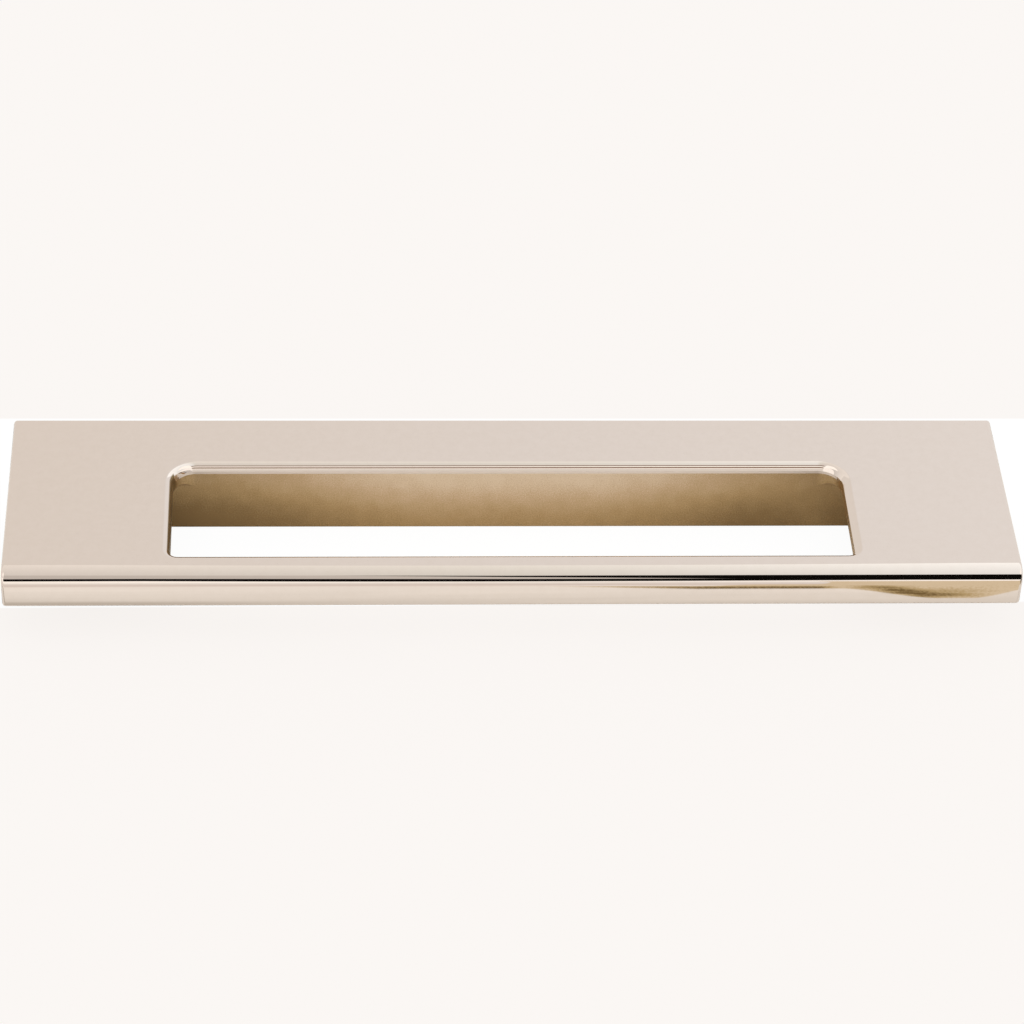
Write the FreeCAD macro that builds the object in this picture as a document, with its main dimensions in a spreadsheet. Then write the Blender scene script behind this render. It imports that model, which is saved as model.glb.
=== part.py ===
"""Tab pull: a polished cast pull with a finger opening.

One casting with the same section from end to end. The flange stands flat against the
drawer front and takes two machine screws from behind. A thin plate reaches forward from
the flange's top edge to a low bar along the front. A long opening in the plate, as deep
as the gap between flange and bar, lets the fingers in behind the bar.

Row frame: the origin is on the flat back face, halfway between the two screw holes.
+X runs along the pull, +Y into the drawer front and +Z up. Sizes are in millimetres.
"""
import FreeCAD, Part
import os

import Sketcher

V = FreeCAD.Vector
NODE = "tab_pull"
TINY = 1e-4

# Driving sizes
SIZES = [
    # alias, value, what it is
    ("screw_spacing", 101.6, "centre to centre of the two screw holes"),
    ("screw_to_end", 12.7, "screw centre to the end of the pull"),
    ("end_plate", 20.65, "length of the plate at each end, beside the opening"),
    ("flange_depth", 9.3, "flange, from its back face to its front face"),
    ("flange_height", 10.5, "height of the flange"),
    ("opening_depth", 16.9, "opening, from the flange to the front bar"),
    ("plate_thickness", 2.4, "thickness of the plate"),
    ("bar_depth", 4.0, "front bar, from its back face to its front face"),
    ("bar_height", 5.2, "height of the front bar"),
    ("front_round", 2.0, "round along the top front edge"),
    ("flange_hollow", 1.2, "hollow round between the plate and the flange"),
    ("bar_hollow", 0.6, "hollow round between the plate and the front bar"),
    ("long_edge_round", 0.35, "small round along the other long edges"),
    ("end_edge_round", 0.45, "round along the outline of each end"),
    ("back_corner", 3.0, "corner radius of the opening at the flange"),
    ("front_corner", 1.0, "corner radius of the opening at the front bar"),
    ("opening_round", 0.95, "round along the top rim of the opening"),
    ("screw_bore", 4.166, "diameter of the screw holes over the thread"),
    ("screw_wall", 2.3, "flange left in front of the holes' full bore"),
    ("mouth_rim", 0.317, "how far the countersunk mouth reaches past the bore"),
    ("drill_angle", 118.0, "angle of the drilled point, in degrees"),
    ("mouth_angle", 90.0, "angle of the countersink, in degrees"),
]

# Sizes that follow from the driving ones
LENGTH = "(sizes.screw_spacing + 2 * sizes.screw_to_end)"
OPENING_WIDTH = f"({LENGTH} - 2 * sizes.end_plate)"
PROJECTION = "(sizes.flange_depth + sizes.opening_depth + sizes.bar_depth)"
SCREW_DEPTH = "(sizes.flange_depth - sizes.screw_wall)"
SCREW_MOUTH = "(sizes.screw_bore + 2 * sizes.mouth_rim)"


def make_sheet(doc):
    """Write every driving size to the sheet, one row each, and return the values."""
    sheet = doc.addObject("Spreadsheet::Sheet", "sizes")
    sheet.Label = "sizes"
    for row, (alias, value, note) in enumerate(SIZES, start=1):
        sheet.set(f"A{row}", alias)
        sheet.set(f"B{row}", str(value))
        sheet.set(f"C{row}", note)
        sheet.setAlias(f"B{row}", alias)
    doc.recompute()
    return {alias: float(sheet.get(alias)) for alias, _, _ in SIZES}


def origin_plane(body, role):
    """Return the body's own origin plane with this role."""
    return next(f for f in body.Origin.OriginFeatures if f.Role == role)


def new_sketch(body, name, role):
    """Start a sketch on one of the body's origin planes."""
    sketch = body.newObject("Sketcher::SketchObject", name)
    sketch.AttachmentSupport = [(origin_plane(body, role), "")]
    sketch.MapMode = "FlatFace"
    return sketch


def drive(sketch, name, formula, *args):
    """Add a dimension to the sketch, name it and tie it to the sheet."""
    index = sketch.addConstraint(Sketcher.Constraint(*args))
    sketch.renameConstraint(index, name)
    sketch.setExpression(f"Constraints.{name}", formula)


def close_loop(sketch, count):
    """Join the ends of consecutive segments into one closed loop."""
    for i in range(count):
        sketch.addConstraint(Sketcher.Constraint("Coincident", i, 2, (i + 1) % count, 1))


def levels(size):
    """Return the heights and depths that the section's corners lie on."""
    top = size["flange_height"] / 2
    under = top - size["plate_thickness"]
    low = top - size["bar_height"]
    flange = -size["flange_depth"]
    bar = flange - size["opening_depth"]
    front = bar - size["bar_depth"]
    return top, under, low, flange, bar, front


def section_sketch(body, size):
    """Draw the section across the pull, seen along its length."""
    top, under, low, flange, bar, front = levels(size)
    corners = [
        (0, -top), (0, top), (front, top), (front, low),
        (bar, low), (bar, under), (flange, under), (flange, -top),
    ]
    sketch = new_sketch(body, "Section", "YZ_Plane")
    points = [V(x, y, 0) for x, y in corners]
    for i, point in enumerate(points):
        sketch.addGeometry(Part.LineSegment(point, points[(i + 1) % len(points)]), False)
    close_loop(sketch, len(points))
    for line in (0, 2, 4, 6):
        sketch.addConstraint(Sketcher.Constraint("Vertical", line))
    for line in (1, 3, 5, 7):
        sketch.addConstraint(Sketcher.Constraint("Horizontal", line))
    # The back edge is centred on the screws
    sketch.addConstraint(Sketcher.Constraint("Symmetric", 0, 1, 0, 2, -1, 1))
    drive(sketch, "flange_height", "sizes.flange_height", "DistanceY", 0, 1, 0, 2, 2 * top)
    drive(sketch, "projection", PROJECTION, "DistanceX", 1, 2, 1, 1, -front)
    drive(sketch, "bar_height", "sizes.bar_height", "DistanceY", 2, 2, 2, 1, top - low)
    drive(sketch, "bar_depth", "sizes.bar_depth", "DistanceX", 3, 1, 3, 2, bar - front)
    drive(sketch, "thickness", "sizes.plate_thickness", "DistanceY", 5, 1, 1, 1, top - under)
    drive(sketch, "flange_depth", "sizes.flange_depth", "DistanceX", 7, 1, 7, 2, -flange)
    return sketch


def opening_sketch(body, size):
    """Draw the finger opening from above: a long loop with two sizes of corner."""
    half = size["screw_spacing"] / 2 + size["screw_to_end"] - size["end_plate"]
    _, _, _, back, front, _ = levels(size)
    big, small = size["back_corner"], size["front_corner"]
    sketch = new_sketch(body, "OpeningOutline", "XY_Plane")
    outline = [
        (V(-half + small, front, 0), V(half - small, front, 0)),
        (V(half, front + small, 0), V(half, back - big, 0)),
        (V(half - big, back, 0), V(-half + big, back, 0)),
        (V(-half, back - big, 0), V(-half, front + small, 0)),
    ]
    for start, end in outline:
        sketch.addGeometry(Part.LineSegment(start, end), False)
    bend = 0.5 ** 0.5
    corners = [
        (V(half - small, front + small, 0), small, 1, -1),
        (V(half - big, back - big, 0), big, 1, 1),
        (V(-half + big, back - big, 0), big, -1, 1),
        (V(-half + small, front + small, 0), small, -1, -1),
    ]
    for i, (centre, radius, sx, sy) in enumerate(corners):
        middle = centre + V(sx * radius * bend, sy * radius * bend, 0)
        arc = Part.Arc(outline[i][1], middle, outline[(i + 1) % 4][0])
        sketch.addGeometry(arc, False)
    # Each corner runs smoothly into the two sides beside it
    for i in range(4):
        sketch.addConstraint(Sketcher.Constraint("Tangent", i, 2, 4 + i, 1))
        sketch.addConstraint(Sketcher.Constraint("Tangent", 4 + i, 2, (i + 1) % 4, 1))
    sketch.addConstraint(Sketcher.Constraint("Vertical", 1))
    sketch.addConstraint(Sketcher.Constraint("Horizontal", 2))
    sketch.addConstraint(Sketcher.Constraint("Vertical", 3))
    sketch.addConstraint(Sketcher.Constraint("Equal", 4, 7))
    sketch.addConstraint(Sketcher.Constraint("Equal", 5, 6))
    sketch.addConstraint(Sketcher.Constraint("Symmetric", 0, 1, 0, 2, -2))
    drive(sketch, "width", OPENING_WIDTH, "DistanceX", 3, 1, 1, 1, 2 * half)
    drive(sketch, "depth", "sizes.opening_depth", "DistanceY", 0, 2, 2, 1, back - front)
    drive(sketch, "flange", "sizes.flange_depth", "DistanceY", 2, 1, -1, 1, -back)
    drive(sketch, "front_corner", "sizes.front_corner", "Radius", 4, small)
    drive(sketch, "back_corner", "sizes.back_corner", "Radius", 5, big)
    return sketch


def screw_sketch(body, size):
    """Mark the centres of the two screw holes on the back face."""
    half = size["screw_spacing"] / 2
    radius = size["screw_bore"] / 2
    sketch = new_sketch(body, "ScrewCentres", "XZ_Plane")
    for side in (-1, 1):
        circle = Part.Circle(V(side * half, 0, 0), V(0, 0, 1), radius)
        sketch.addGeometry(circle, False)
    sketch.addConstraint(Sketcher.Constraint("PointOnObject", 0, 3, -1))
    sketch.addConstraint(Sketcher.Constraint("Symmetric", 0, 3, 1, 3, -1, 1))
    sketch.addConstraint(Sketcher.Constraint("Equal", 0, 1))
    drive(sketch, "spacing", "sizes.screw_spacing", "DistanceX", 0, 3, 1, 3, 2 * half)
    drive(sketch, "bore", "sizes.screw_bore", "Diameter", 0, 2 * radius)
    return sketch


def edge_names(shape, wanted):
    """Name the edges whose two ends and middle all pass a test."""
    names = []
    for number, edge in enumerate(shape.Edges, start=1):
        first, last = edge.ParameterRange
        spots = [edge.valueAt(first + (last - first) * share) for share in (0.0, 0.5, 1.0)]
        if all(wanted(spot) for spot in spots):
            names.append(f"Edge{number}")
    return names


def add_fillet(body, base, name, formula, wanted):
    """Round the edges of the last feature that pass the test."""
    body.Document.recompute()
    edges = edge_names(base.Shape, wanted)
    if not edges:
        raise RuntimeError(f"{name}: no edge was found")
    fillet = body.newObject("PartDesign::Fillet", name)
    fillet.Base = (base, edges)
    fillet.setExpression("Radius", formula)
    body.Document.recompute()
    return fillet


def near(value, target):
    """Say whether two lengths are the same."""
    return abs(value - target) < TINY


def build_pull(doc, size):
    """Model the casting feature by feature."""
    body = doc.addObject("PartDesign::Body", NODE)
    body.Label = NODE
    top, under, low, flange, bar_back, front = levels(size)
    end = size["screw_spacing"] / 2 + size["screw_to_end"]
    half = end - size["end_plate"]

    # The section runs the whole length
    bar = body.newObject("PartDesign::Pad", "Casting")
    bar.Profile = section_sketch(body, size)
    bar.Midplane = True
    bar.setExpression("Length", LENGTH)
    doc.recompute()

    # Rounds along the length
    def along(y, z):
        return lambda p: near(p.y, y) and near(p.z, z)

    step = add_fillet(body, bar, "FlangeHollow", "sizes.flange_hollow", along(flange, under))
    step = add_fillet(body, step, "BarHollow", "sizes.bar_hollow", along(bar_back, under))
    step = add_fillet(body, step, "FrontRound", "sizes.front_round", along(front, top))

    def small_long_edge(p):
        return (
            ((near(p.y, front) or near(p.y, bar_back)) and near(p.z, low))
            or (near(p.y, flange) and near(p.z, -top))
            or (near(p.y, 0) and near(abs(p.z), top))
        )

    step = add_fillet(body, step, "LongEdges", "sizes.long_edge_round", small_long_edge)
    step = add_fillet(body, step, "EndEdges", "sizes.end_edge_round", lambda p: near(abs(p.x), end))

    # The finger opening goes right through the plate, flush with the flange and the bar
    solid = step.Shape.Volume
    opening = body.newObject("PartDesign::Pocket", "FingerOpening")
    opening.Profile = opening_sketch(body, size)
    opening.Type = "ThroughAll"
    opening.Midplane = True
    doc.recompute()
    if opening.Shape.Volume > solid - 100:
        raise RuntimeError("the opening cuts nothing")

    def rim(p):
        return near(p.z, top) and abs(p.x) < half + TINY and front + 1 < p.y < flange + TINY

    step = add_fillet(body, opening, "OpeningRim", "sizes.opening_round", rim)

    # Two blind holes in the back face take the screws
    solid = step.Shape.Volume
    holes = body.newObject("PartDesign::Hole", "ScrewHoles")
    holes.Profile = screw_sketch(body, size)
    doc.recompute()
    holes.ThreadType = "None"
    holes.DepthType = "Dimension"
    holes.DrillPoint = "Angled"
    holes.HoleCutType = "Countersink"
    holes.HoleCutCustomValues = True
    holes.setExpression("Diameter", "sizes.screw_bore")
    holes.setExpression("Depth", SCREW_DEPTH)
    holes.setExpression("DrillPointAngle", "sizes.drill_angle")
    holes.setExpression("HoleCutDiameter", SCREW_MOUTH)
    holes.setExpression("HoleCutCountersinkAngle", "sizes.mouth_angle")
    doc.recompute()
    if holes.Shape.Volume > solid - 1:
        holes.Reversed = True
        doc.recompute()
    cut = solid - holes.Shape.Volume
    depth = size["flange_depth"] - size["screw_wall"]
    if cut < 2 * 0.9 * depth * 3.14159 * (size["screw_bore"] / 2) ** 2:
        raise RuntimeError("the screw holes cut too little")
    body.Tip = holes
    return body


def check(doc):
    """Stop if any object of the document failed."""
    for thing in doc.Objects:
        if {"Invalid", "Error"} & set(thing.State):
            raise RuntimeError(f"{thing.Name} failed: {thing.State}")
        if thing.TypeId == "Sketcher::SketchObject" and thing.solve() != 0:
            raise RuntimeError(f"{thing.Name} isn't solved")


def main():
    """Build the document and write the part."""
    doc = FreeCAD.newDocument("tab_pull_model")
    size = make_sheet(doc)
    body = build_pull(doc, size)
    doc.recompute()
    check(doc)
    shape = body.Shape
    if shape.isNull() or not shape.isValid() or len(shape.Solids) != 1:
        raise RuntimeError("the pull isn't one valid solid")
    os.makedirs("parts", exist_ok=True)
    shape.exportStep(f"parts/{body.Label}.step")
    box = shape.BoundBox
    print(f"{body.Label}: volume {shape.Volume:.1f} mm3, faces {len(shape.Faces)}")
    print(f"box x {box.XMin:.3f} {box.XMax:.3f} y {box.YMin:.3f} {box.YMax:.3f}")
    print(f"box z {box.ZMin:.3f} {box.ZMax:.3f}")


main()
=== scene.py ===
"""Looks of the tab pull: a polished nickel pull with a long finger opening.

The casting is skinned anew with a normal of its own at every corner, so that the polish shows
clean reflections, and the screw holes get their threads; its unpolished recess carries painted
light and shade. The pull stands on a pale table under soft light, with a painted lighter strip
round it. Its polish mirrors a dark card, a painted reflection on the table and panels round it,
which the camera doesn't see.
"""
import logging
import math
from dataclasses import dataclass, field
from enum import Enum

import bmesh
import bpy
from mathutils import Matrix, Vector


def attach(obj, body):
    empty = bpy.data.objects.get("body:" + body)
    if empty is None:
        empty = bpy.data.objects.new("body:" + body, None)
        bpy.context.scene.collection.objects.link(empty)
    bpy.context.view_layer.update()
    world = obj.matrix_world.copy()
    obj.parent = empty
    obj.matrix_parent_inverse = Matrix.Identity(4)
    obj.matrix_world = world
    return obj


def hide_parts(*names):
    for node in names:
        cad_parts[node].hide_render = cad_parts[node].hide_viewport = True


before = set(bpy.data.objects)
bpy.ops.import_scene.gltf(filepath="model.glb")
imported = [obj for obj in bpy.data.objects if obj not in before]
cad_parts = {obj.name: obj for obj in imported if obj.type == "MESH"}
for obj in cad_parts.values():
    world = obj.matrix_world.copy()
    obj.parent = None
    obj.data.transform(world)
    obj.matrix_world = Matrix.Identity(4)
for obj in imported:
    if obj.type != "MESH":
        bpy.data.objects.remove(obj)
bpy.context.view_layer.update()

LOG = logging.getLogger("tab_pull")
MM = 0.001
BODY = "root"

Socket = bpy.types.NodeSocket
Number = Socket | float
Colour = tuple[float, float, float]
Span = tuple[float, float]
Stops = tuple[tuple[float, Colour], ...]
Corner = tuple[Vector, Vector]
SectionPoint = tuple[float, float, float, float]


class Finish(Enum):
    """The finishes of the casting, in the order of its material slots."""

    POLISHED = 0
    RECESS = 1
    BACK = 2


# ---- Nodes and objects


class Graph:
    """A short way to build a node tree."""

    def __init__(self, tree: bpy.types.NodeTree) -> None:
        """Start on an empty tree.

        Args:
            tree: the node tree to fill; its nodes are removed first.
        """
        self.tree = tree
        tree.nodes.clear()

    def add(self, kind: str, values: dict | None = None, **props) -> bpy.types.Node:
        """Add a node, set its properties and fill or link its inputs.

        Args:
            kind: the node's type name.
            values: input name or index to a value, to a colour, or to an output to link from.
            props: properties of the node itself.

        Returns:
            The new node.
        """
        node = self.tree.nodes.new(kind)
        for name, value in props.items():
            setattr(node, name, value)
        for key, item in (values or {}).items():
            socket = node.inputs[key]
            if isinstance(item, Socket):
                self.tree.links.new(item, socket)
            else:
                socket.default_value = (*item, 1.0) if socket.type == "RGBA" else item
        return node

    def math(self, operation: str, *values: Number, clamp: bool = False) -> Socket:
        """Combine up to three numbers by a named sum, and keep it from 0 to 1 if clamped."""
        inputs = dict(enumerate(values))
        return self.add("ShaderNodeMath", inputs, operation=operation, use_clamp=clamp).outputs[0]

    def product(self, first: Number, *others: Number) -> Number:
        """Multiply numbers.

        Args:
            first: the first number or output.
            others: what to multiply it by.

        Returns:
            The product's output.
        """
        for item in others:
            first = self.math("MULTIPLY", first, item)
        return first

    def scaled(self, value: Number, factor: Number, offset: Number, clamp: bool = False) -> Socket:
        """Multiply a number by a factor and add an offset."""
        return self.math("MULTIPLY_ADD", value, factor, offset, clamp=clamp)

    def between(self, share: Number, start: float, end: float) -> Socket:
        """Go from start to end while the share goes from 0 to 1."""
        return self.scaled(share, end - start, start)

    def waver(self, value: Number, noise: Socket, share: float, clamp: bool = False) -> Socket:
        """Let noise push a number up and down by a share of its height."""
        return self.scaled(self.math("SUBTRACT", noise, 0.5), share, value, clamp=clamp)

    def step(self, value: Socket, low: Number, high: Number) -> Socket:
        """Rise smoothly from 0 at low to 1 at high, or fall if low is the higher one."""
        inputs = {"Value": value, "From Min": low, "From Max": high}
        return self.add("ShaderNodeMapRange", inputs, interpolation_type="SMOOTHSTEP").outputs["Result"]

    def step_mm(self, value: Socket, span: Span) -> Socket:
        """Rise smoothly from 0 to 1 over a span given in millimetres."""
        return self.step(value, span[0] * MM, span[1] * MM)

    def band(self, value: Socket, rise: Span, fall: Span) -> Number:
        """Be 1 between a rise and a fall, and 0 outside them."""
        return self.product(self.step(value, *rise), self.step(value, *fall[::-1]))

    def mix(self, share: Number, first: Socket | Colour, second: Socket | Colour) -> Socket:
        """Mix two colours by the share of the second."""
        return self.add("ShaderNodeMix", {0: share, 6: first, 7: second}, data_type="RGBA").outputs[2]

    def dim(self, colour: Socket, share: Number) -> Socket:
        """Scale a colour by a number."""
        inputs = {0: colour, "Scale": share}
        return self.add("ShaderNodeVectorMath", inputs, operation="SCALE").outputs[0]

    def ramp(self, value: Socket, stops: Stops) -> Socket:
        """Turn a number from 0 to 1 into a colour.

        Args:
            value: the number.
            stops: the places and colours of the stops.

        Returns:
            The colour's output.
        """
        node = self.add("ShaderNodeValToRGB", {0: value})
        scale = node.color_ramp
        while len(scale.elements) < len(stops):
            scale.elements.new(0.5)
        for element, (place, colour) in zip(scale.elements, stops):
            element.position = place
            element.color = (*colour, 1.0)
        return node.outputs[0]

    def place(self) -> Socket:
        """Return the place on the object."""
        return self.add("ShaderNodeTexCoord").outputs["Object"]

    def split(self, vector: Socket) -> tuple[Socket, ...]:
        """Part a vector into x, y and z."""
        return tuple(self.add("ShaderNodeSeparateXYZ", {0: vector}).outputs)

    def join(self, **parts: Number) -> Socket:
        """Make a vector from its parts X, Y and Z."""
        return self.add("ShaderNodeCombineXYZ", parts).outputs[0]

    def drawn(self, place: Socket, scale: tuple[float, float, float], turn: float = 0.0) -> Socket:
        """Scale a place, each way by its own factor, after a turn about z."""
        inputs = {"Vector": place, "Rotation": (0.0, 0.0, turn), "Scale": scale}
        return self.add("ShaderNodeMapping", inputs).outputs[0]

    def noise(self, place: Socket, scale: float, detail: float, roughness: float = 0.5) -> Socket:
        """Make soft noise from 0 to 1."""
        inputs = {"Vector": place, "Scale": scale, "Detail": detail, "Roughness": roughness}
        return self.add("ShaderNodeTexNoise", inputs).outputs[0]

    def bump(self, height: Socket, depth: float, below: Socket | None = None) -> Socket:
        """Turn a height into a normal.

        Args:
            height: the height, from 0 to 1.
            depth: how deep the full height is, in millimetres.
            below: the normal to start from, or None for the surface's own.

        Returns:
            The normal's output.
        """
        inputs = {"Strength": 1.0, "Distance": depth * MM, "Height": height}
        if below is not None:
            inputs["Normal"] = below
        return self.add("ShaderNodeBump", inputs).outputs[0]

    def metal(self, colour: Socket, rough: Socket, normal: Socket) -> Socket:
        """Make the shader of a metal."""
        inputs = {"Base Color": colour, "Metallic": 1.0, "Roughness": rough, "Normal": normal}
        return self.add("ShaderNodeBsdfPrincipled", inputs).outputs[0]

    def glow(self, colour: Socket | Colour, kind: str = "Emission", strength: float = 1.0) -> Socket:
        """Make a shader, Emission or Background, that shows a colour by itself."""
        return self.add("ShaderNode" + kind, {"Color": colour, "Strength": strength}).outputs[0]

    def blend(self, share: Number, first: Socket, second: Socket) -> Socket:
        """Mix two shaders by the share of the second."""
        return self.add("ShaderNodeMixShader", {0: share, 1: first, 2: second}).outputs[0]

    def rays(self) -> tuple[Socket, Socket]:
        """Tell the rays that reach the camera from those of mirror images.

        Returns:
            The outputs that are 1 for the camera's rays, also through glass, and for glossy rays.
        """
        path = self.add("ShaderNodeLightPath").outputs
        seen = self.math("MAXIMUM", path["Is Camera Ray"], path["Is Transmission Ray"])
        return seen, path["Is Glossy Ray"]

    def show(self, shader: Socket) -> None:
        """Make a shader the material's surface."""
        self.add("ShaderNodeOutputMaterial", {"Surface": shader})


def new_material(name: str) -> tuple[bpy.types.Material, Graph]:
    """Start a material.

    Args:
        name: its name.

    Returns:
        The material and its empty nodes.
    """
    material = bpy.data.materials.new(name)
    material.use_nodes = True
    return material, Graph(material.node_tree)


def new_object(name: str, data: bpy.types.ID) -> bpy.types.Object:
    """Make an object and link it to the scene.

    Args:
        name: its name.
        data: its mesh, lamp or camera.

    Returns:
        The object.
    """
    made = bpy.data.objects.new(name, data)
    bpy.context.scene.collection.objects.link(made)
    return made


def per_mm(size: float) -> float:
    """Turn the size of a pattern in millimetres into the scale of its noise."""
    return 1.0 / (size * MM)


# ---- Finishes


@dataclass(frozen=True)
class Polished:
    """Mirror-polished nickel, with the faint waves and lines that the polishing wheel leaves."""

    colour: Colour = (0.79, 0.69, 0.612)
    shade: Colour = (0.775, 0.674, 0.594)
    roughness: Span = (0.03, 0.05)
    wave: float = 22.0
    wave_depth: float = 0.0035
    line: float = 0.6
    line_depth: float = 0.00035
    line_stretch: float = 0.03
    film: float = 1.3
    film_step: Span = (0.3, 0.7)

    def dress(self, graph: Graph, place: Socket) -> Socket:
        """Lay the polish on a surface.

        Args:
            graph: the material's nodes.
            place: the place on the object.

        Returns:
            The shader's output.
        """
        waves = graph.noise(place, per_mm(self.wave), 1.0)
        drawn = graph.drawn(place, (self.line_stretch, 1.0, 1.0))
        lines = graph.noise(drawn, per_mm(self.line), 2.0)
        blotch = graph.step(graph.noise(place, per_mm(self.film), 5.0, 0.7), *self.film_step)
        rough = graph.between(blotch, *self.roughness[::-1])
        normal = graph.bump(lines, self.line_depth, graph.bump(waves, self.wave_depth))
        return graph.metal(graph.mix(blotch, self.shade, self.colour), rough, normal)


@dataclass(frozen=True)
class Unpolished:
    """The plated but unpolished casting, grainy and browner than the polish, with painted light and shade.

    Its painted light and shade, with the grain, is a sum of shares that picks the colour and the
    roughness: lighter towards the top and the middle, darker at the ends, below and at the opening's
    sides. Places and sizes are in millimetres.
    """

    # Painted light and shade: the same metal from shaded and dark to lit and bright
    colours: Stops = (
        (0.0, (0.285, 0.185, 0.083)),
        (0.4, (0.485, 0.332, 0.162)),
        (0.7, (0.63, 0.458, 0.282)),
        (1.0, (0.80, 0.645, 0.475)),
    )
    roughness: Span = (0.33, 0.46)
    base: float = -0.1
    # Painted light and shade: lighter in the middle and towards the top, darker at the ends and below
    middle: Span = (41.0, 9.0)
    painted_light_middle_share: float = 0.51
    height: Span = (-4.5, 4.0)
    painted_light_top_share: float = 0.575
    # A painted highlight low down near the right end
    painted_highlight: Span = (33.0, 41.0)
    painted_highlight_share: float = 0.27
    # Painted shade: the opening's corners and sides are darker than the flange between them
    sides: Span = (-9.32, -9.7)
    painted_shade_sides_share: float = -0.1
    cloud: float = 2.2
    cloud_share: float = 0.28
    grain: float = 0.15
    grain_share: float = 0.95
    grain_depth: float = 0.006
    # Darker on the opening's left side, from its x, y and z on
    left_darkening: Colour = (0.13, 0.095, 0.045)
    left_darkening_share: float = 0.65
    left_darkening_spans: tuple[Span, Span, Span] = ((-42.3, -42.7), (-9.8, -10.8), (2.7, 3.0))

    def dress(self, graph: Graph, place: Socket) -> Socket:
        """Lay the raw plate on a surface.

        Args:
            graph: the material's nodes.
            place: the place on the object.

        Returns:
            The shader's output.
        """
        x, y, z = graph.split(place)
        grain = graph.noise(place, per_mm(self.grain), 3.0, 0.6)
        cloud = graph.noise(place, per_mm(self.cloud), 5.0, 0.6)
        painted_highlight = graph.product(graph.step_mm(x, self.painted_highlight), graph.step_mm(z, self.height[::-1]))
        # Painted light and shade, with grain: lighter at the top and in the middle, a painted highlight near the
        # right end, painted shade at the opening's sides and corners
        painted_light_and_grain = self.base
        for share, weight in (
            (graph.step_mm(graph.math("ABSOLUTE", x), self.middle), self.painted_light_middle_share),
            (graph.step_mm(z, self.height), self.painted_light_top_share),
            (painted_highlight, self.painted_highlight_share),
            (graph.step_mm(y, self.sides), self.painted_shade_sides_share),
        ):
            painted_light_and_grain = graph.scaled(share, weight, painted_light_and_grain)
        painted_light_and_grain = graph.waver(painted_light_and_grain, cloud, self.cloud_share)
        painted_light_and_grain = graph.waver(painted_light_and_grain, grain, self.grain_share, clamp=True)
        # Darker on the opening's left side
        spots = [graph.step_mm(way, span) for way, span in zip((x, y, z), self.left_darkening_spans)]
        left_darkened = graph.product(*spots, self.left_darkening_share)
        colour = graph.mix(left_darkened, graph.ramp(painted_light_and_grain, self.colours), self.left_darkening)
        rough = graph.between(painted_light_and_grain, *self.roughness[::-1])
        return graph.metal(colour, rough, graph.bump(grain, self.grain_depth))


@dataclass(frozen=True)
class Linished:
    """The back, drawn flat over a belt: fine straight lines along the pull."""

    colour: Colour = (0.76, 0.66, 0.57)
    shade: Colour = (0.62, 0.52, 0.43)
    roughness: Span = (0.2, 0.36)
    line: float = 0.11
    line_depth: float = 0.004
    line_stretch: float = 0.015
    line_step: Span = (0.32, 0.68)

    def dress(self, graph: Graph, place: Socket) -> Socket:
        """Lay the drawn lines on a surface.

        Args:
            graph: the material's nodes.
            place: the place on the object.

        Returns:
            The shader's output.
        """
        drawn = graph.drawn(place, (self.line_stretch, 1.0, 1.0))
        lines = graph.noise(drawn, per_mm(self.line), 3.0)
        share = graph.step(lines, *self.line_step)
        rough = graph.between(share, *self.roughness[::-1])
        colour = graph.mix(share, self.shade, self.colour)
        return graph.metal(colour, rough, graph.bump(lines, self.line_depth))


@dataclass(frozen=True)
class Workshop:
    """Makes the casting's materials out of its finishes.

    The wheel reaches down the opening's walls to a height: one between the sides, and one for
    each side. In millimetres.
    """

    polished: Polished = Polished()
    unpolished: Unpolished = Unpolished()
    linished: Linished = Linished()
    buffed: float = 3.9
    buffed_left: float = 5.06
    buffed_right: float = 4.42
    buffed_fade: float = 0.06
    side: Span = (42.4, 42.8)

    def build(self) -> list[bpy.types.Material]:
        """Make all materials.

        Returns:
            The materials, in the order of Finish.
        """
        outside, graph = new_material("polished_nickel")
        graph.show(self.polished.dress(graph, graph.place()))
        inside, graph = new_material("unpolished_nickel")
        place = graph.place()
        x, _, z = graph.split(place)
        left = graph.step_mm(x, (-self.side[0], -self.side[1]))
        limit = graph.scaled(left, (self.buffed_left - self.buffed) * MM, self.buffed * MM)
        right = graph.step_mm(x, self.side)
        limit = graph.scaled(right, (self.buffed_right - self.buffed) * MM, limit)
        reach = graph.step_mm(graph.math("SUBTRACT", z, limit), (-self.buffed_fade, self.buffed_fade))
        raw, bright = self.unpolished.dress(graph, place), self.polished.dress(graph, place)
        graph.show(graph.blend(reach, raw, bright))
        back, graph = new_material("linished_nickel")
        graph.show(self.linished.dress(graph, graph.place()))
        return [outside, inside, back]


# ---- Casting


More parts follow.
